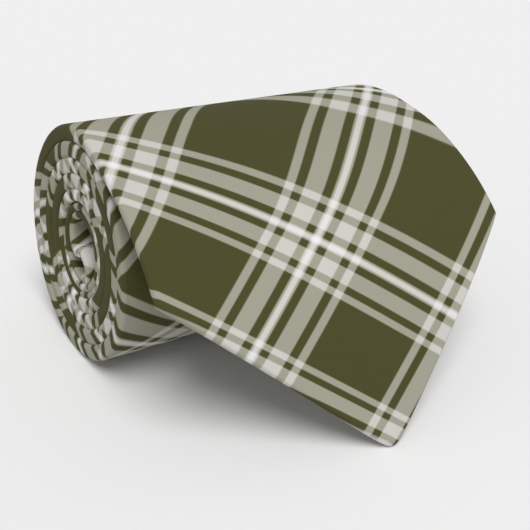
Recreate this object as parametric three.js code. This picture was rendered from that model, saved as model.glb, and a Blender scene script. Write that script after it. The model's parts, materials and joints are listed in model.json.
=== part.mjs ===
// A gentleman's necktie, folded in half, rolled up from the fold and laid on its roll, with the
// wide blade hanging forward from the top of the roll until its tip touches the table.
// Millimetres, +Z up. X runs along the roll, the blade's tip points to -Y.
// The cloth follows one path in the YZ plane, from the blade's tip, over and round the roll,
// through the fold in its core, and back out to the tail. Every piece is swept along that path.
import * as THREE from 'three';

// Driving dimensions of the tie laid flat
const TIE_LENGTH = 1397;
const BLADE_HALF_WIDTH = 50.8;
const NECK_HALF_WIDTH = 17.5;
const TAIL_HALF_WIDTH = 22;
const BLADE_TAPER = 0.046;
const NECK_TO_TAIL_START = 1120;
const TAIL_SHOULDER = TIE_LENGTH - TAIL_HALF_WIDTH;

// Panels that the tie is pieced from, as distances from the blade's tip
const FRONT_PANEL_END = 700;
const NECK_PANEL_END = 1010;
const INTERLINING_JOIN = 790;

// Layers, outside to inside: face cloth, interlining, tipping, back flaps
const THICKNESS = 1.8;
const CLOTH = 0.3;
const INTERLINING = [0, 0.4];
const TIPPING = [-0.4, -0.2];
const HALF = THICKNESS / 2;
const EDGE_BEVEL = 0.45;
const CAVITY_INSET = 0.5;
const LAYER_CLEARANCE = 0.3;
const PIECE_GAP = 0.3;

// The roll
const ROLL_RADIUS = 32.6;
const ROLL_PITCH = 4.2;
const LAYER_SPACING = ROLL_PITCH / 2;
const STEPS_PER_TURN = 16;
const STEP = (2 * Math.PI) / STEPS_PER_TURN;
const START_ANGLE = -STEP / 2;
const BLADE_STEPS = 89;
const OPENING_STEPS = 7;
const FOLD_WIDTH = 8.4;
const FOLD_STEPS = 7;
const RECESS_PER_TURN = 0.3;
const SLANT = { bottomLeft: 7, backLeft: 1.6, fromTurn: 0.3 };

// Where the roll lies
const BLADE_X = 2.2;
const ROLL_Y = 23.5;
const ROLL_Z = ROLL_RADIUS - ROLL_PITCH / 2 + HALF;
const PRESSED_HEIGHT = 1.2;

// The hanging blade
const BLADE_REACH = 78.8;
const BLADE_CURVE_STEPS = 13;
const TOP_HANDLE = 46;
const TIP_HANDLE = 40;
const TIP_SLOPE = THREE.MathUtils.degToRad(62);
const HINGE_GAP = 1.2;
const TIP_START = 1.6;
const TIP_LIFT = -0.95;

// Back of the tie: the hems part over the tipping near both tips and close at a bar tack.
// Distances are from the nearer tip, and shoulder is where the tip's point meets the long edge.
const SLIT_HALF = 0.6;
const FRONT_BACK = { shoulder: BLADE_HALF_WIDTH, hem: 22, closes: 145, tack: 133 };
const TAIL_BACK = { shoulder: TAIL_HALF_WIDTH, hem: 9, closes: 60, tack: 49 };
const BAR_TACK = { halfWidth: 2.6, length: 1.6 };
const STITCH_HALF = 0.3;
const TIPPING_TUCK = 3;
const TIPPING_PAST_OPENING = 5;
const LINING_FROM_TIP = 5;

// Keeper loop, its tacks and the blank label on the back of the blade
const LOOP = { at: 184, length: 12, halfWidth: 27, top: -1.2, bottom: -2.2, cloth: 0.4 };
const LOOP_TACK = { at: 188, length: 3, width: 1.6, top: -1.2, bottom: -1.5 };
const LABEL = { at: 158, length: 16, halfWidth: 15, top: -1.2, bottom: -1.45 };

// ---- The path -----------------------------------------------------------------------------

function spiralPoint(angle, inset) {
  const radius = ROLL_RADIUS - (ROLL_PITCH * (angle - START_ANGLE)) / (2 * Math.PI) - inset;
  return new THREE.Vector2(ROLL_Y + radius * Math.sin(angle), ROLL_Z + radius * Math.cos(angle));
}

function foldWidth(step) {
  const opening = THREE.MathUtils.smoothstep(step, BLADE_STEPS - OPENING_STEPS, BLADE_STEPS);
  return LAYER_SPACING + (FOLD_WIDTH - LAYER_SPACING) * opening;
}

function hangingBlade() {
  const top = spiralPoint(START_ANGLE, 0);
  const tip = new THREE.Vector2(ROLL_Y - BLADE_REACH, TIP_LIFT);
  const topHandle = new THREE.Vector2(-Math.cos(START_ANGLE), Math.sin(START_ANGLE));
  const tipHandle = new THREE.Vector2(Math.cos(TIP_SLOPE), Math.sin(TIP_SLOPE));
  const curve = new THREE.CubicBezierCurve(
    tip,
    tipHandle.multiplyScalar(TIP_HANDLE).add(tip),
    topHandle.multiplyScalar(TOP_HANDLE).add(top),
    top,
  );
  return curve.getSpacedPoints(BLADE_CURVE_STEPS);
}

function foldedCore() {
  const last = START_ANGLE + BLADE_STEPS * STEP;
  const outer = spiralPoint(last, 0);
  const inner = spiralPoint(last, FOLD_WIDTH);
  const centre = outer.clone().add(inner).multiplyScalar(0.5);
  const points = [];
  for (let i = 1; i < FOLD_STEPS; i += 1) {
    points.push(outer.clone().rotateAround(centre, (-Math.PI * i) / FOLD_STEPS));
  }
  return points;
}

// Mitred normals keep every layer's facets parallel at their own depth.
function withNormals(points) {
  const normals = points.slice(1).map((point, i) => {
    const along = point.clone().sub(points[i]).normalize();
    return new THREE.Vector2(-along.y, along.x);
  });
  let distance = 0;
  return points.map((point, i) => {
    const before = normals[Math.max(i - 1, 0)];
    const after = normals[Math.min(i, normals.length - 1)];
    if (i > 0) distance += point.distanceTo(points[i - 1]);
    const normal = before.clone().add(after).multiplyScalar(1 / (1 + before.dot(after)));
    return { distance, point, normal };
  });
}

function tiePath() {
  const points = hangingBlade();
  for (let k = 1; k <= BLADE_STEPS; k += 1) {
    points.push(spiralPoint(START_ANGLE + k * STEP, 0));
  }
  points.push(...foldedCore());
  for (let k = BLADE_STEPS; k > 0; k -= 1) {
    points.push(spiralPoint(START_ANGLE + k * STEP, foldWidth(k)));
  }
  return withNormals(points)
    .map((station, i) => ({ ...station, turns: turnsAt(i) }))
    .filter((station, i, all) => i === 0 || all[i - 1].distance < TIE_LENGTH);
}

// How many turns of the roll lie outside a point of the path, on the way in and on the way out.
function turnsAt(index) {
  const wayIn = index - BLADE_CURVE_STEPS;
  const wayOut = 2 * BLADE_STEPS + FOLD_STEPS - wayIn;
  return THREE.MathUtils.clamp(Math.min(wayIn, wayOut), 0, BLADE_STEPS) / STEPS_PER_TURN;
}

const PATH = tiePath();
const HINGE = PATH[BLADE_CURVE_STEPS];
const FOLD_START = PATH[BLADE_CURVE_STEPS + BLADE_STEPS];
const FOLD_END = PATH[BLADE_CURVE_STEPS + BLADE_STEPS + FOLD_STEPS];
const FOLD_AT = (FOLD_START.distance + FOLD_END.distance) / 2;

// A place on the path, on the chord between its two neighbouring stations.
function stationAt(distance) {
  const after = Math.max(1, PATH.findIndex((station) => station.distance >= distance));
  const a = PATH[after - 1];
  const b = PATH[after];
  const part = (distance - a.distance) / (b.distance - a.distance);
  return {
    distance,
    point: a.point.clone().lerp(b.point, part),
    normal: a.normal.clone().lerp(b.normal, part),
    turns: a.turns + (b.turns - a.turns) * part,
  };
}

// The path's own stations between two distances, with the ends and any extra places added.
function stationsBetween(start, end, extras = []) {
  const margin = 0.4;
  const inside = PATH.filter(({ distance }) => distance > start + margin && distance < end - margin)
    .filter(({ distance }) => extras.every((extra) => Math.abs(extra - distance) > margin));
  const added = [start, end, ...extras.filter((extra) => extra > start && extra < end)];
  return [...inside, ...added.map(stationAt)].sort((a, b) => a.distance - b.distance);
}

// ---- Widths -------------------------------------------------------------------------------

// Both tips are right-angled points, so their half width is the distance to the tip.
function halfWidth(distance) {
  const blade = BLADE_HALF_WIDTH - BLADE_TAPER * (distance - BLADE_HALF_WIDTH);
  const toTail = (distance - NECK_TO_TAIL_START) / (TAIL_SHOULDER - NECK_TO_TAIL_START);
  const widening = THREE.MathUtils.clamp(toTail, 0, 1);
  const tail = NECK_HALF_WIDTH + (TAIL_HALF_WIDTH - NECK_HALF_WIDTH) * widening;
  return Math.min(distance, Math.max(blade, tail), TIE_LENGTH - distance);
}

// Half the opening between the two hems, at a distance from their own tip.
function openingHalf(fromTip, { shoulder, hem, closes }) {
  const narrowing = (closes - fromTip) / (closes - shoulder);
  return Math.min(fromTip - hem, (shoulder - hem) * narrowing);
}

function slitHalf(distance) {
  const front = openingHalf(distance, FRONT_BACK);
  const tail = openingHalf(TIE_LENGTH - distance, TAIL_BACK);
  return Math.max(SLIT_HALF, front, tail);
}

// The roll's left end slants: its bottom lies to the left of its top, and its back of its front.
function slantAt(turns) {
  const size = 1 - (turns * ROLL_PITCH) / ROLL_RADIUS;
  const height = size * Math.cos(2 * Math.PI * turns);
  const leaves = THREE.MathUtils.smoothstep(turns, 0, SLANT.fromTurn);
  const behind = size * Math.sin(2 * Math.PI * turns) * leaves;
  return (SLANT.bottomLeft * (1 - height) + SLANT.backLeft * behind) / 2;
}

// The tie is rolled with its left edges nearly flush, so its middle drifts left as it narrows.
function middleX(distance, turns) {
  const rolled = Math.max(0, Math.min(distance, 2 * FOLD_AT - distance) - HINGE.distance);
  const flush = halfWidth(HINGE.distance + rolled) - halfWidth(HINGE.distance);
  return BLADE_X + flush + RECESS_PER_TURN * turns - slantAt(turns);
}

// ---- Sections and sweeps ------------------------------------------------------------------

// Face cloth folded round both edges, with its two back flaps ending at the slit.
function envelopeSection(distance) {
  const w = halfWidth(distance);
  const slit = Math.min(slitHalf(distance), w - 2 * CAVITY_INSET);
  const third = HALF / 3;
  const inner = HALF - CLOTH;
  const right = [
    [slit, -HALF], [w - EDGE_BEVEL, -HALF], [w, -third], [w, third], [w - EDGE_BEVEL, HALF],
  ];
  const left = right.map(([x, n]) => [-x, n]).reverse();
  const cavityRight = [[w - CAVITY_INSET, inner], [w - CAVITY_INSET, -inner], [slit, -inner]];
  const cavityLeft = cavityRight.map(([x, n]) => [-x, n]).reverse();
  return [...right, ...left, ...cavityLeft, ...cavityRight];
}

function stripSection(x0, x1, n0, n1) {
  return [[x0, n0], [x1, n0], [x1, n1], [x0, n1]];
}

function loopSection() {
  const { halfWidth: w, top, bottom, cloth } = LOOP;
  return [
    [-w, bottom], [w, bottom], [w, top], [w - cloth, top],
    [w - cloth, bottom + cloth], [cloth - w, bottom + cloth], [cloth - w, top], [-w, top],
  ];
}

// The lowest facet of the roll is pressed flat on the table.
function pressedFlat(y, z, n) {
  const underRoll = n === HALF && z < PRESSED_HEIGHT && Math.abs(y - ROLL_Y) < ROLL_RADIUS * STEP;
  return underRoll ? 0 : z;
}

function ring({ distance, point, normal, turns }, section) {
  const x0 = middleX(distance, turns);
  return section.map(([x, n]) => {
    const y = point.x + normal.x * n;
    const z = point.y + normal.y * n;
    return new THREE.Vector3(x0 + x, y, pressedFlat(y, z, n));
  });
}

function signedVolume(positions, index) {
  const corner = (i) => new THREE.Vector3().fromArray(positions, 3 * index[i]);
  let volume = 0;
  for (let i = 0; i < index.length; i += 3) {
    volume += corner(i).dot(corner(i + 1).cross(corner(i + 2)));
  }
  return volume;
}

// A closed solid through the same outline at every station, capped at both ends.
function sweep(stations, sectionAt) {
  const sections = stations.map(({ distance }) => sectionAt(distance));
  const positions = stations.flatMap((station, i) => (
    ring(station, sections[i]).flatMap((corner) => corner.toArray())
  ));
  const count = sections[0].length;
  const index = [];
  for (let i = 0; i + 1 < stations.length; i += 1) {
    for (let j = 0; j < count; j += 1) {
      const a = i * count + j;
      const b = i * count + ((j + 1) % count);
      index.push(a, b, b + count, a, b + count, a + count);
    }
  }
  const cap = (i) => THREE.ShapeUtils.triangulateShape(
    sections[i].map(([x, n]) => new THREE.Vector2(x, n)), [],
  );
  const last = stations.length - 1;
  cap(0).forEach(([a, b, c]) => index.push(c, b, a));
  cap(last).forEach((triangle) => index.push(...triangle.map((corner) => corner + last * count)));
  if (signedVolume(positions, index) < 0) index.reverse();
  const geometry = new THREE.BufferGeometry();
  geometry.setAttribute('position', new THREE.Float32BufferAttribute(positions, 3));
  geometry.setIndex(index);
  geometry.computeVertexNormals();
  return geometry;
}

// ---- Pieces -------------------------------------------------------------------------------

const tie = new THREE.Group();

const CLOTH_FINISH = { color: 0x504f32, roughness: 0.85 };
const CANVAS_FINISH = { color: 0xd9d4c4, roughness: 0.95 };
const SATIN_FINISH = { color: 0x4b4a30, roughness: 0.5 };
const THREAD_FINISH = { color: 0x45442c, roughness: 0.7 };

function add(name, geometry, finish) {
  const mesh = new THREE.Mesh(geometry, new THREE.MeshStandardMaterial({ ...finish, metalness: 0 }));
  mesh.name = name;
  tie.add(mesh);
}

function envelope(start, end, extras) {
  return sweep(stationsBetween(start, end, extras), envelopeSection);
}

function lining(start, end, inset, depths, extras) {
  return sweep(stationsBetween(start, end, extras), (distance) => {
    const w = Math.max(halfWidth(distance) - inset, 1);
    return stripSection(-w, w, ...depths);
  });
}

function block(start, length, x0, x1, depths) {
  return sweep(stationsBetween(start, start + length), () => stripSection(x0, x1, ...depths));
}

const BLADE_END = HINGE.distance - HINGE_GAP / 2;
const ROLL_START = HINGE.distance + HINGE_GAP / 2;
const TAIL_END = TIE_LENGTH - TIP_START;
const LINING_END = TIE_LENGTH - LINING_FROM_TIP;
const LINING_INSET = CAVITY_INSET + LAYER_CLEARANCE;
const FRONT_SHOULDER = FRONT_BACK.shoulder;

// Face cloth, pieced from three panels. The front one is parted where the blade bends to hang.
function addPanels() {
  const neckStart = FRONT_PANEL_END + PIECE_GAP;
  const tailStart = NECK_PANEL_END + PIECE_GAP;
  const tailCloses = TIE_LENGTH - TAIL_BACK.closes;
  add('blade_envelope', envelope(TIP_START, BLADE_END, [FRONT_SHOULDER]), CLOTH_FINISH);
  add('front_panel', envelope(ROLL_START, FRONT_PANEL_END, [FRONT_BACK.closes]), CLOTH_FINISH);
  add('neck_panel', envelope(neckStart, NECK_PANEL_END), CLOTH_FINISH);
  add('tail_panel', envelope(tailStart, TAIL_END, [tailCloses, TAIL_SHOULDER]), CLOTH_FINISH);
}

// Interlining inside the cloth, from tip to tip, in two lengths joined near the fold.
function addInterlining() {
  const inner = (start, end, extras) => lining(start, end, LINING_INSET, INTERLINING, extras);
  const rearStart = INTERLINING_JOIN + PIECE_GAP;
  add('blade_interlining', inner(LINING_FROM_TIP, BLADE_END, [FRONT_SHOULDER]), CANVAS_FINISH);
  add('front_interlining', inner(ROLL_START, INTERLINING_JOIN), CANVAS_FINISH);
  add('rear_interlining', inner(rearStart, LINING_END, [TAIL_SHOULDER]), CANVAS_FINISH);
}

// Lining that closes the back of both tips, under the hems.
function addTippings() {
  const under = (start, end, extras) => lining(start, end, TIPPING_TUCK, TIPPING, extras);
  const tailStart = TIE_LENGTH - TAIL_BACK.closes - TIPPING_PAST_OPENING;
  add('front_tipping', under(LINING_FROM_TIP, BLADE_END, [FRONT_SHOULDER]), SATIN_FINISH);
  add('tail_tipping', under(tailStart, LINING_END, [TAIL_SHOULDER]), SATIN_FINISH);
}

// Thread: the slip stitch that closes the back, and a bar tack at each of its ends.
function addThread() {
  const depths = [-HALF, CLOTH - HALF];
  const { halfWidth: tack, length } = BAR_TACK;
  const tailTack = TIE_LENGTH - TAIL_BACK.tack;
  const stitched = stationsBetween(FRONT_BACK.tack + length + PIECE_GAP, tailTack - PIECE_GAP);
  const stitch = stripSection(-STITCH_HALF, STITCH_HALF, ...depths);
  add('front_bar_tack', block(FRONT_BACK.tack, length, -tack, tack, depths), THREAD_FINISH);
  add('tail_bar_tack', block(tailTack, length, -tack, tack, depths), THREAD_FINISH);
  add('slip_stitch', sweep(stitched, () => stitch), THREAD_FINISH);
}

// Keeper loop for the tail, tacked at both ends to the back of the blade.
function addKeeper() {
  const { at, length, width, top, bottom } = LOOP_TACK;
  const near = LOOP.halfWidth + PIECE_GAP;
  const far = near + width;
  const loop = sweep(stationsBetween(LOOP.at, LOOP.at + LOOP.length), loopSection);
  add('keeper_loop', loop, CLOTH_FINISH);
  add('keeper_tack_left', block(at, length, -far, -near, [bottom, top]), THREAD_FINISH);
  add('keeper_tack_right', block(at, length, near, far, [bottom, top]), THREAD_FINISH);
}

// A blank woven label on the back of the blade, beside the keeper loop.
function addLabel() {
  const { at, length, halfWidth: half, top, bottom } = LABEL;
  add('blank_label', block(at, length, -half, half, [bottom, top]), SATIN_FINISH);
}

addPanels();
addInterlining();
addTippings();
addThread();
addKeeper();
addLabel();

export default tie;
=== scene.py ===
"""The looks of a plaid necktie that is folded in half, rolled up and laid on its roll.

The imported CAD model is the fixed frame. Every cloth piece is swept again along the same path as in
the CAD source, finely and with soft edges, and takes its plaid from where the cloth was cut.
Metres, +Z up, X along the roll, the blade's tip towards -Y.
"""

import json
import math

import bpy
import numpy as np
from mathutils import Matrix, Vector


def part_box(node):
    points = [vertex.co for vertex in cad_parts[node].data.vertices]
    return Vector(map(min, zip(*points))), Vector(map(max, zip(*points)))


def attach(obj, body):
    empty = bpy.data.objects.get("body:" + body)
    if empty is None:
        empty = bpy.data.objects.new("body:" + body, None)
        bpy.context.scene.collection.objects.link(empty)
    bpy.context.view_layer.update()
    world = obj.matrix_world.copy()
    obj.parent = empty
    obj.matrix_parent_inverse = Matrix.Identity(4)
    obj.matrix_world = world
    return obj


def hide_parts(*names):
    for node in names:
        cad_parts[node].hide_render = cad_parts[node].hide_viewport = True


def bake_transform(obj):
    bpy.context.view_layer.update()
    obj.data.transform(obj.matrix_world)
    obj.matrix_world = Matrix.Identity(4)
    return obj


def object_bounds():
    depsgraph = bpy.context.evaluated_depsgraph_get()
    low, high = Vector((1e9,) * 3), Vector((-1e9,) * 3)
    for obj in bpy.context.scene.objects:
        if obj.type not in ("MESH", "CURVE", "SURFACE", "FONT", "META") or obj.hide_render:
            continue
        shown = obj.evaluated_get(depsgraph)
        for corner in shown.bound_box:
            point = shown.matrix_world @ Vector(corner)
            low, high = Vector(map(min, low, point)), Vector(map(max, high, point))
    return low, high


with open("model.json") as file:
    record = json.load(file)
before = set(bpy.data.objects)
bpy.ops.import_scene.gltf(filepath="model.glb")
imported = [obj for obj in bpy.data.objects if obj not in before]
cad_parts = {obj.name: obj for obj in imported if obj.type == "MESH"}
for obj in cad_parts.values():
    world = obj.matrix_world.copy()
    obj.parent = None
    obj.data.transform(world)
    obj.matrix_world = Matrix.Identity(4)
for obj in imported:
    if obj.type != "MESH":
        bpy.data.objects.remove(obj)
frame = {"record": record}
CAD_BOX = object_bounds()
MM = 0.001

# The tie laid flat. Distances along it are from the blade's tip.
TIE_LENGTH = 1397 * MM
BLADE_HALF = 50.8 * MM
NECK_HALF = 17.5 * MM
TAIL_HALF = 22 * MM
BLADE_TAPER = 0.046
NECK_TO_TAIL = 1120 * MM
TAIL_SHOULDER = TIE_LENGTH - TAIL_HALF
FRONT_PANEL_END = 700 * MM
NECK_PANEL_END = 1010 * MM
INTERLINING_JOIN = 790 * MM
PIECE_GAP = 0.3 * MM

# The roll, in the steps that the CAD source winds it by
ROLL_RADIUS = 32.6 * MM
ROLL_PITCH = 4.2 * MM
LAYER_SPACING = ROLL_PITCH / 2
STEPS_PER_TURN = 16
STEP = 2 * math.pi / STEPS_PER_TURN
START_ANGLE = -STEP / 2
BLADE_STEPS = 89
OPENING_STEPS = 7
FOLD_WIDTH = 8.4 * MM
FOLD_STEPS = 7
# How far each turn starts to the right of the turn round it
RECESS_PER_TURN = 0.3 * MM
# The roll's ends slant: its bottom lies to the left of its top, and its back to the left of its front.
# The back's share comes in smoothly, over this part of the first turn.
BOTTOM_LEFT = 7.0 * MM
BACK_LEFT = 1.6 * MM
SLANT_FROM_TURN = 0.3
# The path has this many points for each step of the CAD source.
FINE = 6

# The hanging blade, a Bezier curve from the tip to the top of the roll
HANGING_STEPS = 13
BLADE_REACH = 78.8 * MM
TOP_HANDLE = 46 * MM
TIP_HANDLE = 40 * MM
TIP_SLOPE = math.radians(62)
TIP_LIFT = -0.95 * MM
CURVE_SAMPLES = 2001

# The narrow inner turns lie flush at the left and leave the right end hollow, so behind its top line
# the roll sinks there, by this part of its height. No cloth is placed lower than ON_TABLE.
RIGHT_SINK = 0.033
SINKS_BEHIND = (-5 * MM, 25 * MM)
ON_TABLE = 0.02 * MM

# Half the tie's thickness, and the layers inside it
HALF = 0.9 * MM
CLOTH = 0.35 * MM
TIPPING_THICKNESS = 0.2 * MM
CANVAS_DEPTH = 0.4 * MM
CANVAS_THICKNESS = 0.4 * MM
CANVAS_INSET = 3 * MM
TIPPING_DEPTH = -0.2 * MM
TIPPING_INSET = 3 * MM
LINING_LEAST_HALF = 1 * MM
LINING_FROM_TIP = 5 * MM
TIPPING_PAST_OPENING = 5 * MM

# The cloth is turned in at the tips, which leaves them short and a little round.
TIP_SHORT = 1.7 * MM
TIP_START = TIP_SHORT + 0.02 * MM
TIP_ROUND = 1.4 * MM
TIP_ROWS = TIP_SHORT + np.array([0.08, 0.2, 0.45, 0.9, 1.6]) * MM
LEAST_ROW = 0.1 * MM

# Thread. A stitch starts and ends this far under the cloth's back, and stands this far proud of it.
THREAD_RADIUS = 0.13 * MM
THREAD_UNDER = 0.15 * MM
THREAD_PROUD = 0.05 * MM
STITCH_SPACING = 9 * MM
STITCH_REACH = 1.0 * MM
STITCH_LEAN = 0.6 * MM
BAR_TACK_HALF = 2.6 * MM
BAR_TACK_WRAPS = 6

# The keeper loop and the label on the blade's back. The loop's near side lies on the tie, and its
# tacks reach from inside its ends to outside them.
LOOP = {
    "at": 184 * MM,
    "length": 12 * MM,
    "half": 27 * MM,
    "near": -1.2 * MM,
    "far": -2.2 * MM,
    "tack": 188 * MM,
    "tack_inside": 0.8 * MM,
    "tack_outside": 1.6 * MM,
}
LABEL = {"at": 158 * MM, "length": 16 * MM, "half": 15 * MM, "depth": -1.25 * MM, "thickness": 0.2 * MM}

# The back: the hems part over the tipping near each tip and close at a bar tack
SLIT_HALF = 0.5 * MM
FRONT_BACK = {"shoulder": BLADE_HALF, "hem": 22 * MM, "closes": 145 * MM, "tack": 133 * MM}
TAIL_BACK = {"shoulder": TAIL_HALF, "hem": 9 * MM, "closes": 60 * MM, "tack": 49 * MM}

# Where the roll lies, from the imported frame
ROLL_Y = frame["record"]["mounts"][0]["pos_m"][1]
ROLL_Z = ROLL_RADIUS - ROLL_PITCH / 2 + HALF
BLADE_X = (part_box("blade_envelope")[0].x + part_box("blade_envelope")[1].x) / 2


# ---- The path of the cloth -----------------------------------------------------------------


def smoothstep(low, high, value):
    """0 before low, 1 after high, and a smooth rise between them."""
    part = np.clip((np.asarray(value, float) - low) / (high - low), 0, 1)
    return part * part * (3 - 2 * part)


def distances(line):
    """How far along a line of points each point is."""
    return np.concatenate([[0], np.cumsum(np.linalg.norm(np.diff(line, axis=0), axis=1))])


def spiral_points(angle, inset):
    """Points (y, z) of the roll's spiral; angle 0 is its top and it turns towards the back."""
    radius = ROLL_RADIUS - ROLL_PITCH * (angle - START_ANGLE) / (2 * math.pi) - inset
    return np.stack([ROLL_Y + radius * np.sin(angle), ROLL_Z + radius * np.cos(angle)], axis=-1)


def hanging_points(count):
    """The blade from its tip to the top of the roll, evenly spaced along its curve."""
    top = spiral_points(np.array(START_ANGLE), 0.0)
    tip = np.array([ROLL_Y - BLADE_REACH, TIP_LIFT])
    over = top + TOP_HANDLE * np.array([-math.cos(START_ANGLE), math.sin(START_ANGLE)])
    up = tip + TIP_HANDLE * np.array([math.cos(TIP_SLOPE), math.sin(TIP_SLOPE)])
    t = np.linspace(0, 1, CURVE_SAMPLES)[:, None]
    line = (1 - t) ** 3 * tip + 3 * (1 - t) ** 2 * t * up + 3 * (1 - t) * t**2 * over + t**3 * top
    along = distances(line)
    even = np.linspace(0, along[-1], count)
    return np.stack([np.interp(even, along, line[:, k]) for k in range(2)], axis=1)


def fold_width(step):
    """How far apart the two layers are, opening towards the fold in the roll's core."""
    opening = smoothstep(BLADE_STEPS - OPENING_STEPS, BLADE_STEPS, step)
    return LAYER_SPACING + (FOLD_WIDTH - LAYER_SPACING) * opening


def folded_core(parts):
    """The half circle that joins the two layers in the core, without its end points."""
    last = np.array(START_ANGLE + BLADE_STEPS * STEP)
    outer = spiral_points(last, 0.0)
    centre = (outer + spiral_points(last, FOLD_WIDTH)) / 2
    turn = -math.pi * np.arange(1, parts) / parts
    y, z = outer - centre
    return centre + np.stack(
        [y * np.cos(turn) - z * np.sin(turn), y * np.sin(turn) + z * np.cos(turn)], axis=1
    )


def path_points(fine):
    """The whole path with that many points for each step of the CAD source."""
    inward = np.arange(1, BLADE_STEPS * fine + 1) / fine
    outward = np.arange(BLADE_STEPS * fine, 0, -1) / fine
    return np.concatenate([
        hanging_points(HANGING_STEPS * fine + 1),
        spiral_points(START_ANGLE + inward * STEP, 0.0),
        folded_core(FOLD_STEPS * fine),
        spiral_points(START_ANGLE + outward * STEP, fold_width(outward)),
    ])


def whole_path():
    """Points, normals and distances along the cloth, which are those of the CAD's straight steps."""
    points = path_points(FINE)
    coarse = distances(path_points(1))
    steps = np.arange(len(points)) / FINE
    along = np.interp(steps, np.arange(len(coarse)), coarse)
    travel = np.gradient(points, axis=0)
    travel /= np.linalg.norm(travel, axis=1)[:, None]
    normals = np.stack([-travel[:, 1], travel[:, 0]], axis=1)
    return points, normals, along


POINTS, NORMALS, ALONG = whole_path()

# How far along the tie it starts to hang from the roll, and where it is folded in half
HINGE_AT = ALONG[HANGING_STEPS * FINE]
FOLD_FIRST = (HANGING_STEPS + BLADE_STEPS) * FINE
FOLD_LAST = FOLD_FIRST + FOLD_STEPS * FINE
FOLD_AT = ALONG[FOLD_FIRST : FOLD_LAST + 1].mean()

# How many turns into the roll each point of the path is, on the way in and on the way out
STEP_NUMBERS = np.arange(len(ALONG)) / FINE - HANGING_STEPS
STEPS_IN = np.minimum(STEP_NUMBERS, 2 * BLADE_STEPS + FOLD_STEPS - STEP_NUMBERS)
TURNS = np.clip(STEPS_IN, 0, BLADE_STEPS) / STEPS_PER_TURN


def half_width(along):
    """Half the tie's width; both tips are right-angled points, rounded off."""
    blade = BLADE_HALF - BLADE_TAPER * (along - BLADE_HALF)
    widening = np.clip((along - NECK_TO_TAIL) / (TAIL_SHOULDER - NECK_TO_TAIL), 0, 1)
    tail = NECK_HALF + (TAIL_HALF - NECK_HALF) * widening
    from_tip = np.minimum(along, TIE_LENGTH - along)
    tip = np.sqrt(np.clip(from_tip**2 - TIP_SHORT**2, 0, None))
    return np.minimum(tip, np.maximum(blade, tail))


def opening_half(from_tip, back):
    """Half the opening between the hems at a distance from their own tip."""
    narrowing = (back["closes"] - from_tip) / (back["closes"] - back["shoulder"])
    return np.minimum(from_tip - back["hem"], (back["shoulder"] - back["hem"]) * narrowing)


def slit_half(along):
    """Half the gap between the two back flaps."""
    front = opening_half(along, FRONT_BACK)
    tail = opening_half(TIE_LENGTH - along, TAIL_BACK)
    return np.maximum(SLIT_HALF, np.maximum(front, tail))


def slant_at(turns):
    """How far to the left of the hanging blade this place lies, because the roll's ends slant."""
    size = 1 - turns * ROLL_PITCH / ROLL_RADIUS
    height = size * np.cos(2 * math.pi * turns)
    behind = size * np.sin(2 * math.pi * turns) * smoothstep(0, SLANT_FROM_TURN, turns)
    return (BOTTOM_LEFT * (1 - height) + BACK_LEFT * behind) / 2


def middle_x(along):
    """Where the tie's middle is: rolled nearly flush at the left, on a slant."""
    rolled = np.clip(np.minimum(along, 2 * FOLD_AT - along) - HINGE_AT, 0, None)
    flush = half_width(HINGE_AT + rolled) - half_width(np.array(HINGE_AT))
    turns = np.interp(along, ALONG, TURNS)
    return BLADE_X + flush + RECESS_PER_TURN * turns - slant_at(turns)


def place(along, x, depth):
    """Points in the frame, at distances along the tie, across it and out from its mid-line."""
    y, z = (np.interp(along, ALONG, POINTS[:, k]) for k in range(2))
    ny, nz = (np.interp(along, ALONG, NORMALS[:, k]) for k in range(2))
    across = middle_x(along) + x
    y = y + ny * depth
    to_right = (across - CAD_BOX[0][0]) / (CAD_BOX[1][0] - CAD_BOX[0][0])
    sunk = RIGHT_SINK * to_right * smoothstep(*SINKS_BEHIND, y)
    height = (z + nz * depth) * (1 - sunk)
    return np.stack([across, y, np.maximum(height, ON_TABLE)], axis=-1)


def stations(start, end, every=1):
    """Distances along the tie from start to end, at the path's own points and close to the tips."""
    inside = np.concatenate([ALONG[::every], TIP_ROWS, TIE_LENGTH - TIP_ROWS])
    inside = np.sort(inside[(inside > start + LEAST_ROW) & (inside < end - LEAST_ROW)])
    return np.concatenate([[start], inside, [end]])


# ---- The plaid -----------------------------------------------------------------------------

# Each family of stripes crosses the tie at an angle, nearing the tip to the right (side 1) or to the
# left (side -1). Its first group is that far from the tip. Easing crowds the stripes before that group
# and spreads those after it; less than 0 does the reverse.
RIGHT_STRIPES = {
    "side": 1,
    "angle": math.radians(40.1),
    "first": 38.6 * MM,
    "period": 46.6 * MM,
    "ease": 0.273,
    "spread": 7.6 * MM,
    "creep": -6.9 * MM,
}
LEFT_STRIPES = {
    "side": -1,
    "angle": math.radians(40.2),
    "first": 47.3 * MM,
    "period": 46.8 * MM,
    "ease": -0.049,
    "spread": 0.0,
    "creep": 11.0 * MM,
}
EASED_PERIODS = 1.2

# Over the top of the roll, the weave skews back, and to the left at its left edge.
SKEW = {"start": 60 * MM, "end": 130 * MM, "left": 12.1 * MM, "back": 11.8 * MM}
# There a family also spreads, from a place near the middle.
SPREAD = {"start": 90 * MM, "end": 130 * MM, "from": 0.53}
# Down the back of the roll, each family creeps along the tie.
CREEP = {"start": 130 * MM, "end": 215 * MM}


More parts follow.
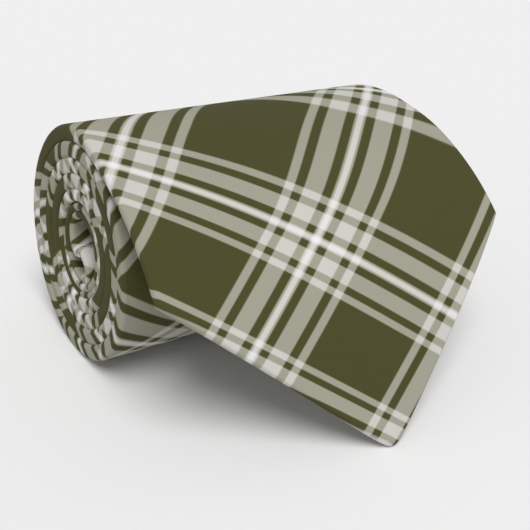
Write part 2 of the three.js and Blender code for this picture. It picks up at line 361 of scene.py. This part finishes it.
def stripe_phase(family, along, across):
    """How many periods a place on the flat cloth is past the family's first group of stripes."""
    over_top = smoothstep(SKEW["start"], SKEW["end"], along)
    near_left = smoothstep(-BLADE_HALF, BLADE_HALF, -across)
    along = along - SKEW["back"] * over_top
    spreading = smoothstep(SPREAD["start"], SPREAD["end"], along) * (near_left - SPREAD["from"])
    across = across + SKEW["left"] * over_top * near_left + family["spread"] * spreading
    reach = along * math.cos(family["angle"]) + family["side"] * across * math.sin(family["angle"])
    reach = reach + family["creep"] * smoothstep(CREEP["start"], CREEP["end"], along)
    periods = (reach - family["first"]) / family["period"]
    near = np.clip(periods, -EASED_PERIODS, EASED_PERIODS)
    return near * (1 - family["ease"] * near) + periods - near


def plaid_uv(along, across):
    """Both stripe phases, which the plaid material reads as its UV map."""
    families = (RIGHT_STRIPES, LEFT_STRIPES)
    return np.stack([stripe_phase(family, along, across) for family in families], axis=-1)


# ---- Meshes --------------------------------------------------------------------------------

SHADING_WEIGHT = 90


def new_mesh(name, vertices, faces, smooth=True):
    """A mesh object in the scene."""
    mesh = bpy.data.meshes.new(name)
    mesh.from_pydata([tuple(v) for v in vertices], [], [tuple(f) for f in faces])
    mesh.validate()
    mesh.update()
    mesh.polygons.foreach_set("use_smooth", [smooth] * len(mesh.polygons))
    piece = bpy.data.objects.new(name, mesh)
    bpy.context.scene.collection.objects.link(piece)
    return piece


def grid_faces(rows, columns):
    """Quads of a grid whose points are numbered row by row."""
    a = (np.arange(rows - 1)[:, None] * columns + np.arange(columns - 1)).ravel()
    return np.stack([a, a + 1, a + columns + 1, a + columns], axis=1)


def at_corners(values):
    """Values at the points of a grid (rows, columns, n), for each corner of each face."""
    rows, columns, count = values.shape
    return values.reshape(-1, count)[grid_faces(rows, columns)]


def grid_sheet(name, points, corner_uv):
    """A cloth sheet from a grid of points (rows, columns, 3), with the UV map of its face corners."""
    piece = new_mesh(name, points.reshape(-1, 3), grid_faces(*points.shape[:2]))
    layer = piece.data.uv_layers.new(name="cloth")
    layer.data.foreach_set("uv", corner_uv.astype(np.float32).ravel())
    return piece


def thicken(piece, thickness):
    """Gives a sheet its thickness, inwards from the side that shows, and even shading."""
    solid = piece.modifiers.new("thickness", "SOLIDIFY")
    solid.thickness = thickness
    solid.offset = -1
    even = piece.modifiers.new("even_shading", "WEIGHTED_NORMAL")
    even.weight = SHADING_WEIGHT
    return piece


# ---- The face cloth ------------------------------------------------------------------------

# Columns of points across half of the face, round each half of the edge, along it, and across a flap
FACE_COLUMNS = 20
ROUND_COLUMNS = 4
EDGE_COLUMNS = 1
FLAP_COLUMNS = 12
# Powers that crowd the columns towards the folded edge
FACE_CROWDING = 0.8
FLAP_CROWDING = 1.4

# The folded edge is round, and swells inwards on the hanging blade and more between two turns.
FOLD_ROUND = 0.9 * MM
SOFT_REACH = 7 * MM
BLADE_PUFF = 0.3 * MM
TURN_PUFF = 2.25 * MM
PUFF_GROWS = (HINGE_AT - 30 * MM, HINGE_AT + 20 * MM)
# An edge is free to swell where it stands out past the layer that it lies on, by the first of these
# for a little and by the second for all of it.
FREE_EDGE = (1.0 * MM, 4.0 * MM)

# Near the tips, the slit, the fold's roundness and the soft reach are at most these parts of the
# tie's half width, and the section closes, to the root of CLOSED_TIP.
SLIT_LIMIT = 0.6
FOLD_LIMIT = 0.3
SOFT_LIMIT = 0.5
CLOSED_TIP = 0.02


def puff_at(along):
    """How far the folded edges swell inwards."""
    other = 2 * FOLD_AT - along
    spare = half_width(along) - half_width(np.clip(other, 0, TIE_LENGTH))
    free = np.where(other > TIE_LENGTH, 1.0, smoothstep(*FREE_EDGE, spare)) * (along < FOLD_AT)
    rolled = smoothstep(*PUFF_GROWS, along)
    return BLADE_PUFF * (1 - rolled) + TURN_PUFF * rolled * free


def envelope_half(along):
    """Across and depth of one half of the section, from the face's middle round to the slit."""
    w = half_width(along)[:, None]
    slit = np.minimum(slit_half(along)[:, None], SLIT_LIMIT * w)
    puff = puff_at(along)[:, None]
    fold = np.minimum(FOLD_ROUND, FOLD_LIMIT * w)
    face_x = np.linspace(0, 1, FACE_COLUMNS) ** FACE_CROWDING * (w - fold)
    face_depth = HALF + 0 * face_x
    quarter = np.linspace(math.pi / 2, 0, ROUND_COLUMNS + 1)[None]
    round_x = w - fold + fold * np.cos(quarter[:, 1:])
    round_depth = HALF * np.sin(quarter[:, 1:]) + 0 * round_x
    edge_depth = -puff * np.linspace(0, 1, EDGE_COLUMNS + 2)[None, 1:-1]
    edge_x = w + 0 * edge_depth
    fold_x = w - fold + fold * np.cos(quarter[:, ::-1])
    fold_depth = -puff - HALF * np.sin(quarter[:, ::-1])
    flap = np.linspace(0, 1, FLAP_COLUMNS + 1)[None, 1:] ** FLAP_CROWDING
    flap_x = (w - fold) * (1 - flap) + slit * flap
    reach = np.minimum(SOFT_REACH, SOFT_LIMIT * w)
    flap_depth = -HALF - puff * (1 - smoothstep(0, 1, (w - fold - flap_x) / reach))
    across = np.concatenate([face_x, round_x, edge_x, fold_x, flap_x], axis=1)
    depth = np.concatenate([face_depth, round_depth, edge_depth, fold_depth, flap_depth], axis=1)
    from_tip = np.minimum(along, TIE_LENGTH - along) - TIP_START
    closing = np.sqrt(np.clip(from_tip / TIP_ROUND, CLOSED_TIP, 1))[:, None]
    return across, depth * closing


def envelope(name, start, end, every=1):
    """A panel of face cloth, folded round both edges with its two flaps at the back.

    The flaps go on with the weave of the face round the fold. In the blade's point they are mitred.
    """
    along = stations(start, end, every)
    across, depth = envelope_half(along)
    step = np.hypot(np.diff(across, axis=1), np.diff(depth, axis=1))
    arc = np.concatenate([np.zeros((len(along), 1)), np.cumsum(step, axis=1)], axis=1)
    turn = FACE_COLUMNS + ROUND_COLUMNS + EDGE_COLUMNS - 1
    past = np.clip(arc - arc[:, turn : turn + 1], 0, None)
    where = along[:, None] + 0 * arc
    sides = [
        (
            place(where, side * across, depth),
            plaid_uv(where, side * arc),
            plaid_uv(where - past, side * (arc - past)),
        )
        for side in (1, -1)
    ]
    points, straight_uv, mitred_uv = (
        np.concatenate([right[:, ::-1], left[:, 1:]], axis=1) for right, left in zip(*sides)
    )
    in_tip = along[:-1] + LEAST_ROW < BLADE_HALF
    faces_in_tip = np.repeat(in_tip, points.shape[1] - 1)[:, None, None]
    corner_uv = np.where(faces_in_tip, at_corners(mitred_uv), at_corners(straight_uv))
    return thicken(grid_sheet(name, points, corner_uv), CLOTH)


# ---- Flat strips and threads ---------------------------------------------------------------

STRIP_COLUMNS = 9
THREAD_SIDES = 6
THREAD_POINTS = 7
# A thread narrows at its ends to this part of its section. A higher fullness narrows it later.
THREAD_END = 0.1
THREAD_FULLNESS = 8
# Turns the vector that starts a thread's section away from the thread's own direction
OFF_AXIS = 0.1


def strip(name, start, end, half, depth, thickness, every=1):
    """A flat strip of cloth on or inside the tie, and its area; half gives its half width at a place."""
    along = stations(start, end, every)[:, None]
    across = np.linspace(-1, 1, STRIP_COLUMNS)[None] * half(along)
    where = along + 0 * across
    millimetres = np.stack([where / MM, across / MM], axis=-1)
    piece = grid_sheet(name, place(where, across, depth + 0 * across), at_corners(millimetres))
    area = float(np.sum(np.diff(along[:, 0]) * (half(along[1:, 0]) + half(along[:-1, 0]))))
    return thicken(piece, thickness), area


def thread_rings(run):
    """Rings of points round a thread that runs through (along, across, depth) points."""
    line = place(*np.array(run).T)
    travel = np.gradient(line, axis=0)
    travel /= np.linalg.norm(travel, axis=1)[:, None]
    upright = np.cross(travel, np.roll(travel, 1, axis=1) + OFF_AXIS)
    upright /= np.linalg.norm(upright, axis=1)[:, None]
    level = np.cross(travel, upright)
    fullness = 1 - np.linspace(-1, 1, len(run)) ** THREAD_FULLNESS
    size = THREAD_RADIUS * np.sqrt(np.clip(fullness, THREAD_END, 1))[:, None, None]
    angles = (2 * math.pi * np.arange(THREAD_SIDES) / THREAD_SIDES)[None, :, None]
    ring = np.cos(angles) * upright[:, None] + np.sin(angles) * level[:, None]
    return line[:, None] + size * ring


def threads(name, runs):
    """Round threads through runs of (along, across, depth) points, all in one mesh."""
    vertices, faces = [], []
    for run in runs:
        first = len(vertices)
        vertices.extend(thread_rings(run).reshape(-1, 3))
        for k in range(len(run) - 1):
            for n in range(THREAD_SIDES):
                a = first + k * THREAD_SIDES + n
                b = first + k * THREAD_SIDES + (n + 1) % THREAD_SIDES
                faces.append((a, b, b + THREAD_SIDES, a + THREAD_SIDES))
        faces.append(tuple(first + n for n in reversed(range(THREAD_SIDES))))
        faces.append(tuple(len(vertices) - THREAD_SIDES + n for n in range(THREAD_SIDES)))
    return new_mesh(name, vertices, faces)


# ---- Materials -----------------------------------------------------------------------------

# Dye and yarn colours as they look in the studio, and how far each stripe covers the ground
LOOK_OLIVE = (0.303, 0.300, 0.184)
LOOK_WHITE = (0.97, 0.965, 1.0)
LIGHT_COVER = (0.49, 0.49, 0.465)
BRIGHT_COVER = (0.76, 0.76, 0.73)
NO_COVER = (0.0, 0.0, 0.0)
LOOK_GAMMA = 2.2
# The cloth's own colour is this part of its look, because the studio's light is brighter than 1.
STUDIO_LEVEL = 0.80

# Half a group of stripes, from its bright middle outwards, in periods
BRIGHT_CORE = 0.015
BRIGHT_EDGE = 0.027
SIDE_STRIPES = ((0.073, 0.168), (0.214, 0.260))
EDGE_BLUR = 0.003

# The twill's ridges and yarns, and how much they and the cloth's blotches and slubs change its shade
TWILL_PER_PERIOD = 140
RIDGE_HEIGHT = 0.5
YARN_HEIGHT = 0.2
TWILL_SHADE = 0.04
BLOTCH_SHADE = 0.04
SLUB_SHADE = 0.08

# Gloss of every cloth
CLOTH_SPECULAR = 0.12
SHEEN_ROUGHNESS = 0.5

# The plain cloths and the thread: colours, and shades round an even level
CANVAS_COLOUR = (0.62, 0.58, 0.50)
LINING_OLIVE = (0.07, 0.067, 0.03)
WOVEN_LEVEL = 0.9
WOVEN_BLOTCH = 0.2
THREAD_LEVEL = 0.8
TWIST_SHADE = 0.3
TWIST_SCALE = 900.0


def node(tree, kind, *values, settings=None, **named):
    """A shader node. The values fill its first inputs, the named ones those of that name."""
    made = tree.nodes.new(kind)
    for key, value in (settings or {}).items():
        setattr(made, key, value)
    for key, value in (*enumerate(values), *named.items()):
        if isinstance(value, bpy.types.NodeSocket):
            tree.links.new(value, made.inputs[key])
        else:
            made.inputs[key].default_value = value
    return made


def maths(tree, operation, *values):
    """One step of arithmetic on values or sockets."""
    return node(tree, "ShaderNodeMath", *values, settings={"operation": operation}).outputs[0]


def vector_maths(tree, operation, *values):
    """One step of arithmetic on colours or vectors."""
    return node(tree, "ShaderNodeVectorMath", *values, settings={"operation": operation}).outputs[0]


def ramp(tree, factor, stops):
    """A linear colour ramp through (position, colour) stops."""
    made = node(tree, "ShaderNodeValToRGB", factor)
    elements = made.color_ramp.elements
    while len(elements) < len(stops):
        elements.new(1.0)
    for element, (position, colour) in zip(elements, stops):
        element.position = position
        element.color = (*colour, 1.0)
    return made.outputs["Color"]


def noise(tree, where, scale, detail):
    """Soft noise between 0 and 1."""
    return node(tree, "ShaderNodeTexNoise", where, Scale=scale, Detail=detail).outputs[0]


def cloth_map(tree):
    """The cloth's UV map, and its two coordinates."""
    uv = node(tree, "ShaderNodeUVMap", settings={"uv_map": "cloth"}).outputs[0]
    split = node(tree, "ShaderNodeSeparateXYZ", uv)
    return uv, split.outputs[0], split.outputs[1]


def add_shade(tree, shade, pattern, amount, middle=0.0):
    """The shade, brighter where the pattern is above its middle and darker where it is below."""
    from_middle = maths(tree, "SUBTRACT", pattern, middle)
    return maths(tree, "ADD", shade, maths(tree, "MULTIPLY", from_middle, amount))


def principled(name, roughness, sheen, specular=CLOTH_SPECULAR):
    """A new material: its node tree and its Principled shader."""
    material = bpy.data.materials.new(name)
    material.use_nodes = True
    tree = material.node_tree
    shader = tree.nodes["Principled BSDF"]
    shader.inputs["Roughness"].default_value = roughness
    shader.inputs["Sheen Weight"].default_value = sheen
    shader.inputs["Sheen Roughness"].default_value = SHEEN_ROUGHNESS
    shader.inputs["Specular IOR Level"].default_value = specular
    return material, tree, shader


def dress(tree, shader, colour, shade, height, strength, distance):
    """Gives a shader its shaded colour and the relief of its weave."""
    tree.links.new(vector_maths(tree, "MULTIPLY", colour, shade), shader.inputs["Base Color"])
    bump = node(tree, "ShaderNodeBump", Strength=strength, Distance=distance, Height=height)
    tree.links.new(bump.outputs[0], shader.inputs["Normal"])


def stripe_cover(tree, phase):
    """How much of the pale yarn shows, for one family of stripes."""
    cycle = maths(tree, "FRACT", maths(tree, "ADD", phase, 0.5))
    from_middle = maths(tree, "ABSOLUTE", maths(tree, "SUBTRACT", cycle, 0.5))
    stops = [
        (BRIGHT_CORE - EDGE_BLUR, BRIGHT_COVER),
        (BRIGHT_CORE + EDGE_BLUR, LIGHT_COVER),
        (BRIGHT_EDGE - EDGE_BLUR, LIGHT_COVER),
        (BRIGHT_EDGE + EDGE_BLUR, NO_COVER),
    ]
    for inner, outer in SIDE_STRIPES:
        stops.append((inner - EDGE_BLUR, NO_COVER))
        stops.append((inner + EDGE_BLUR, LIGHT_COVER))
        stops.append((outer - EDGE_BLUR, LIGHT_COVER))
        stops.append((outer + EDGE_BLUR, NO_COVER))
    return ramp(tree, from_middle, stops)


def plaid_look(tree, right, left):
    """The olive ground under both families of stripes, whose covers mix where they cross."""
    bare = [
        vector_maths(tree, "SUBTRACT", (1.0, 1.0, 1.0), stripe_cover(tree, phase))
        for phase in (right, left)
    ]
    white_to_olive = tuple(olive - white for olive, white in zip(LOOK_OLIVE, LOOK_WHITE))
    look = vector_maths(tree, "MULTIPLY", white_to_olive, vector_maths(tree, "MULTIPLY", *bare))
    return vector_maths(tree, "ADD", look, LOOK_WHITE)


def twill_ridges(tree, right, left):
    """Height of the twill's fine diagonal ridges and of the yarns that cross them."""
    diagonal = maths(tree, "MULTIPLY", maths(tree, "ADD", right, left), TWILL_PER_PERIOD)
    ridge = maths(tree, "SINE", maths(tree, "MULTIPLY", diagonal, math.pi))
    yarn = maths(tree, "SINE", maths(tree, "MULTIPLY", right, 4 * math.pi * TWILL_PER_PERIOD))
    return add_shade(tree, maths(tree, "MULTIPLY", yarn, YARN_HEIGHT), ridge, RIDGE_HEIGHT)


def plaid_material():
    """Matte twill in olive, with pale stripes on the bias that mix where they cross."""
    material, tree, shader = principled("plaid_twill", roughness=1.0, sheen=0.02)
    uv, right, left = cloth_map(tree)
    look = plaid_look(tree, right, left)
    colour = node(tree, "ShaderNodeGamma", look, Gamma=LOOK_GAMMA).outputs[0]
    height = twill_ridges(tree, right, left)
    blotch = noise(tree, uv, scale=3.0, detail=3.0)
    slub = noise(tree, uv, scale=180.0, detail=2.0)
    shade = add_shade(tree, STUDIO_LEVEL, height, TWILL_SHADE)
    shade = add_shade(tree, shade, blotch, BLOTCH_SHADE, middle=0.5)
    shade = add_shade(tree, shade, slub, SLUB_SHADE, middle=0.5)
    dress(tree, shader, colour, shade, height, strength=0.2, distance=0.08 * MM)
    return material


def woven_material(name, colour, roughness, sheen, threads_per_mm, contrast):
    """Plain woven cloth in one colour, over and under by its threads."""
    material, tree, shader = principled(name, roughness, sheen)
    uv, along, across = cloth_map(tree)
    warp, weft = (
        maths(tree, "SINE", maths(tree, "MULTIPLY", way, math.pi * threads_per_mm))
        for way in (along, across)
    )
    weave = maths(tree, "MULTIPLY", warp, weft)
    blotch = noise(tree, uv, scale=0.15, detail=3.0)
    shade = add_shade(tree, WOVEN_LEVEL, weave, contrast)
    shade = add_shade(tree, shade, blotch, WOVEN_BLOTCH)
    dress(tree, shader, colour, shade, weave, strength=0.3, distance=0.1 * MM)
    return material


def thread_material():
    """Olive sewing thread with its fine twist."""
    material, tree, shader = principled("olive_thread", roughness=0.6, sheen=0.1)
    where = node(tree, "ShaderNodeTexCoord").outputs["Object"]
    diagonal = {"bands_direction": "DIAGONAL"}
    twist = node(tree, "ShaderNodeTexWave", where, settings=diagonal, Scale=TWIST_SCALE).outputs[1]
    shade = add_shade(tree, THREAD_LEVEL, twist, TWIST_SHADE)
    dress(tree, shader, LINING_OLIVE, shade, twist, strength=0.4, distance=0.05 * MM)
    return material


PLAID = plaid_material()
CANVAS = woven_material(
    "interlining_canvas", CANVAS_COLOUR, roughness=0.95, sheen=0.15, threads_per_mm=1.6, contrast=0.10
)
SATIN = woven_material(
    "tipping_satin", LINING_OLIVE, roughness=0.45, sheen=0.2, threads_per_mm=6.0, contrast=0.05
)
THREAD = thread_material()


# ---- Pieces --------------------------------------------------------------------------------

# The blade's cloth is parted behind the hinge, at this place.
BEND_AT = HINGE_AT + 12 * MM

# Pieces wound inside the roll have a row of points at every second or third point of the path.
INNER_PANEL_EVERY = 2
INNER_LINING_EVERY = 3

# Higher is flatter, over the middle of a stitch
STITCH_FLATNESS = 4
BAR_TACK_FLATNESS = 6

# Points along each run of the keeper loop, round each of its ends, and across it
LOOP_COLUMNS = 24
LOOP_END_COLUMNS = 7
LOOP_ROWS = 6


def finish_piece(piece, material, cad_node, hangs=False):
    """Gives a piece its material, hides the CAD node it stands for, and joins the roll's body unless it
    hangs.
    """
    piece.data.materials.append(material)
    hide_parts(cad_node)
    if hangs:
        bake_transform(piece)
    else:
        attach(piece, "roll")


def inset_half(inset):
    """The half width of a lining whose edges lie that far inside the tie's."""

    def half(along):
        """The lining's half width at a place."""
        return np.maximum(half_width(along) - inset, LINING_LEAST_HALF)

    return half


def label_half(along):
    """The label's half width, which is the same all along."""
    return LABEL["half"] + 0 * along


def linings():
    """The interlining in its lengths and the tippings of both tips."""
    last = TIE_LENGTH - LINING_FROM_TIP
    tail_start = TIE_LENGTH - TAIL_BACK["closes"] - TIPPING_PAST_OPENING
    front_end = FRONT_BACK["closes"] + TIPPING_PAST_OPENING
    canvas = (inset_half(CANVAS_INSET), CANVAS_DEPTH, CANVAS_THICKNESS, CANVAS, "interlining_canvas")
    satin = (inset_half(TIPPING_INSET), TIPPING_DEPTH, TIPPING_THICKNESS, SATIN, "tipping_satin")
    strips = (
        ("blade_interlining", canvas, LINING_FROM_TIP, BEND_AT, True),
        ("front_interlining", canvas, BEND_AT, INTERLINING_JOIN, False),
        ("rear_interlining", canvas, INTERLINING_JOIN + PIECE_GAP, last, False),
        ("front_tipping", satin, LINING_FROM_TIP, front_end, True),
        ("tail_tipping", satin, tail_start, last, False),
    )
    for cad_node, (half, depth, thickness, material, slot), start, end, hangs in strips:
        every = 1 if hangs else INNER_LINING_EVERY
        piece, area = strip(cad_node + "_cloth", start, end, half, depth, thickness, every)
        finish_piece(piece, material, cad_node, hangs)
        half(stations(start, end)).max()


def sew(cad_node, runs):
    """Threads that stand for a CAD node."""
    piece = threads(cad_node + "_thread", runs)
    finish_piece(piece, THREAD, cad_node)


def bowed(bow, flatness):
    """Depths of a stitch that dips under the cloth's back at its ends; bow goes from -1 to 1."""
    under = -HALF + THREAD_UNDER
    over = -HALF - THREAD_PROUD
    return under + (over - under) * (1 - bow**flatness)


def wraps(at, across, depth):
    """The turns of a bar tack, side by side from a place along the tie."""
    return [
        [(at + k * 2 * THREAD_RADIUS, x, d) for x, d in zip(across, depth)] for k in range(BAR_TACK_WRAPS)
    ]


def stitches():
    """The slip stitch up the back, and a bar tack at each of its ends."""
    ends = {"front_bar_tack": FRONT_BACK["tack"], "tail_bar_tack": TIE_LENGTH - TAIL_BACK["tack"]}
    first = ends["front_bar_tack"] + STITCH_SPACING / 2
    last = ends["tail_bar_tack"] - STITCH_SPACING / 2
    bow = np.linspace(-1, 1, THREAD_POINTS)
    sew("slip_stitch", [
        list(zip(at + STITCH_LEAN * bow, STITCH_REACH * bow, bowed(bow, STITCH_FLATNESS)))
        for at in np.arange(first, last, STITCH_SPACING)
    ])
    for cad_node, at in ends.items():
        sew(cad_node, wraps(at, BAR_TACK_HALF * bow, bowed(bow, BAR_TACK_FLATNESS)))


def loop_section():
    """Across and depth round the keeper loop: its near run, an end, its far run and the other end."""
    half, near, far = LOOP["half"], LOOP["near"], LOOP["far"]
    middle = (near + far) / 2
    end_round = (near - far) / 2
    flat = np.linspace(-half + end_round, half - end_round, LOOP_COLUMNS)
    turn = np.linspace(math.pi / 2, -math.pi / 2, LOOP_END_COLUMNS + 2)[1:-1]
    end_x = half - end_round + end_round * np.cos(turn)
    end_depth = middle + end_round * np.sin(turn)
    x = np.concatenate([flat, end_x, flat[::-1], -end_x, flat[:1]])
    depth = np.concatenate([flat * 0 + near, end_depth, flat * 0 + far, end_depth[::-1], [near]])
    return x, depth


def keeper_loop():
    """The band on the blade's back that holds the tail, with a tack at each end."""
    x, depth = loop_section()
    arc = distances(np.stack([x, depth], axis=1))
    along = np.linspace(LOOP["at"], LOOP["at"] + LOOP["length"], LOOP_ROWS)[:, None]
    where = along + 0 * x[None]
    uv = plaid_uv(where, arc[None] + 0 * where)
    band = grid_sheet("keeper_loop_cloth", place(where, x[None] + 0 * where, depth), at_corners(uv))
    finish_piece(thicken(band, CLOTH), PLAID, "keeper_loop")
    tack_start = LOOP["half"] - LOOP["tack_inside"]
    tack_end = LOOP["half"] + LOOP["tack_outside"]
    tack_x = np.linspace(tack_start, tack_end, THREAD_POINTS)
    tack_depth = LOOP["near"] - THREAD_PROUD + 0 * tack_x
    for cad_node, side in (("keeper_tack_left", -1), ("keeper_tack_right", 1)):
        sew(cad_node, wraps(LOOP["tack"], side * tack_x, tack_depth))


def blank_label():
    """The blank woven label, on the tip's side of the loop."""
    end = LABEL["at"] + LABEL["length"]
    label, area = strip(
        "blank_label_cloth", LABEL["at"], end, label_half, LABEL["depth"], LABEL["thickness"]
    )
    finish_piece(label, SATIN, "blank_label")


def cloth_panels():
    """The face cloth in its panels, the first parted where the blade bends to hang."""
    neck_start = FRONT_PANEL_END + PIECE_GAP
    tail_start = NECK_PANEL_END + PIECE_GAP
    panels = (
        ("blade_cloth", "blade_envelope", TIP_START, BEND_AT, 1),
        ("front_panel_cloth", "front_panel", BEND_AT, FRONT_PANEL_END, 1),
        ("neck_panel_cloth", "neck_panel", neck_start, NECK_PANEL_END, INNER_PANEL_EVERY),
        ("tail_panel_cloth", "tail_panel", tail_start, TIE_LENGTH - TIP_START, INNER_PANEL_EVERY),
    )
    for name, cad_node, start, end, every in panels:
        piece = envelope(name, start, end, every)
        finish_piece(piece, PLAID, cad_node, hangs=cad_node == "blade_envelope")


linings()
stitches()
keeper_loop()
blank_label()
cloth_panels()


# ---- Floor, light and camera ---------------------------------------------------------------

FLOOR_SIZE = 12.0
FLOOR_GREY = 0.735

# Light from the studio's walls, up to a height, and from its ceiling, with a wide soft lamp overhead
WALL_LIGHT = 0.86
WALL_TOP = 0.15
CEILING_LIGHT = 0.42
CEILING_START = 0.5
LAMP_LIGHT = 2.5
LAMP_SPREAD = math.radians(35)
LAMP_TILT = (math.radians(24), math.radians(-9), 0)

# The camera stands at the front left, above the tie, and leans a little to one side.
CAMERA_PLACE = (BLADE_X - 111.24 * MM, -170.87 * MM, 141.28 * MM)
CAMERA_AZIMUTH = math.radians(-32.34)
CAMERA_ELEVATION = math.radians(30.56)
CAMERA_ROLL = math.radians(2.44)
SENSOR_WIDTH = 36
LENS = 56.126
SHIFT_RIGHT = -0.014528
SHIFT_UP = 0.020943


def floor():
    """A plain pale floor."""
    corner = FLOOR_SIZE / 2
    corners = [(-corner, -corner, 0), (corner, -corner, 0), (corner, corner, 0), (-corner, corner, 0)]
    piece = new_mesh("floor", corners, [(0, 1, 2, 3)], smooth=False)
    material, _, shader = principled("floor_grey", roughness=0.9, sheen=0.0, specular=0.1)
    shader.inputs["Base Color"].default_value = (FLOOR_GREY, FLOOR_GREY, FLOOR_GREY, 1.0)
    piece.data.materials.append(material)


def lights():
    """Even studio light, with a wide soft lamp overhead."""
    world = bpy.data.worlds.new("studio")
    bpy.context.scene.world = world
    world.use_nodes = True
    tree = world.node_tree
    background = tree.nodes["Background"]
    background.inputs["Color"].default_value = (1.0, 1.0, 1.0, 1.0)
    direction = node(tree, "ShaderNodeTexCoord").outputs["Generated"]
    height = node(tree, "ShaderNodeSeparateXYZ", direction).outputs[2]
    level = ramp(tree, height, [(WALL_TOP, (WALL_LIGHT,) * 3), (CEILING_START, (CEILING_LIGHT,) * 3)])
    tree.links.new(level, background.inputs["Strength"])
    sun = bpy.data.lights.new("overhead", "SUN")
    sun.energy = LAMP_LIGHT
    sun.angle = LAMP_SPREAD
    lamp = bpy.data.objects.new("overhead", sun)
    lamp.rotation_euler = LAMP_TILT
    bpy.context.scene.collection.objects.link(lamp)


def camera():
    """The camera, from the front left and above."""
    away = np.array([
        math.sin(CAMERA_AZIMUTH) * math.cos(CAMERA_ELEVATION),
        -math.cos(CAMERA_AZIMUTH) * math.cos(CAMERA_ELEVATION),
        math.sin(CAMERA_ELEVATION),
    ])
    right = np.cross(-away, (0, 0, 1))
    right /= np.linalg.norm(right)
    up = np.cross(right, -away)
    tilted_right = math.cos(CAMERA_ROLL) * right + math.sin(CAMERA_ROLL) * up
    tilted_up = math.cos(CAMERA_ROLL) * up - math.sin(CAMERA_ROLL) * right
    turn = Matrix([tilted_right, tilted_up, away]).transposed()
    data = bpy.data.cameras.new("camera")
    data.sensor_width = SENSOR_WIDTH
    data.lens = LENS
    data.shift_x = SHIFT_RIGHT
    data.shift_y = SHIFT_UP
    view = bpy.data.objects.new("camera", data)
    view.matrix_world = Matrix.Translation(CAMERA_PLACE) @ turn.to_4x4()
    bpy.context.scene.collection.objects.link(view)
    bpy.context.scene.camera = view


floor()
lights()
camera()
bpy.context.scene.view_settings.view_transform = "Standard"
